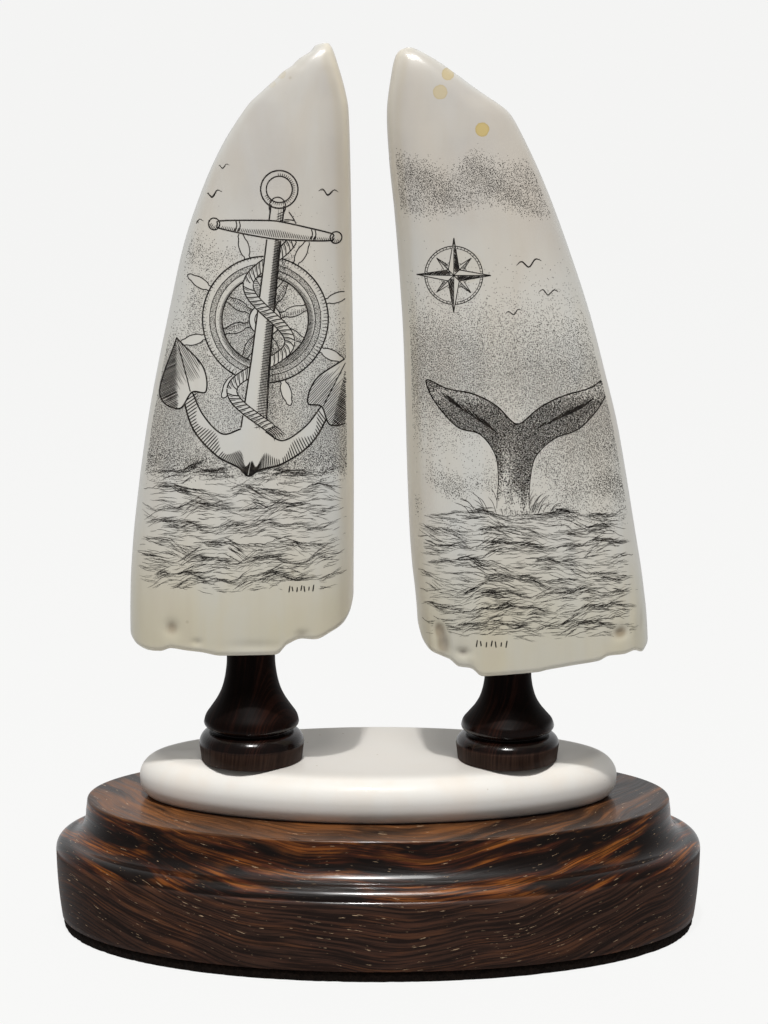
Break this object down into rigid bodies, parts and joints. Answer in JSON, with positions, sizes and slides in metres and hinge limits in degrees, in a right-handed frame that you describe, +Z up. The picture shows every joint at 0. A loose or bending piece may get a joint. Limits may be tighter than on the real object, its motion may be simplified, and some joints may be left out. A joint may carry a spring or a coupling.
{
  "type": "pair of scrimshaw whale teeth on a stand",
  "caption": "Engraved whale teeth standing point up on turned dark wood pedestals, on an oval white plate and a moulded oval wooden base with a felt pad.",
  "frame": {"origin": "under the middle of the oval base, on the surface it stands on", "axes": "+Z up, +X to the viewer's right along the base's long side, -Y towards the viewer"},
  "size_m": [0.16, 0.0906, 0.2159],
  "materials": {
    "felt": "dark brown-black felt, matte",
    "base_wood": "varnished dark figured rosewood, glossy",
    "plate": "polished white bone, satin gloss",
    "pedestal_wood": "nearly black turned hardwood, polished",
    "tooth": "polished ivory with dark engraved lines, glossy",
    "ink": "black pigment rubbed into the engraved lines, matte"
  },
  "bodies": {
    "root": {"felt_pad": "felt", "wood_base": "base_wood", "bone_plate": "plate", "left_pedestal": "pedestal_wood", "right_pedestal": "pedestal_wood", "left_tooth": "tooth", "right_tooth": "tooth"}
  },
  "joints": []
}
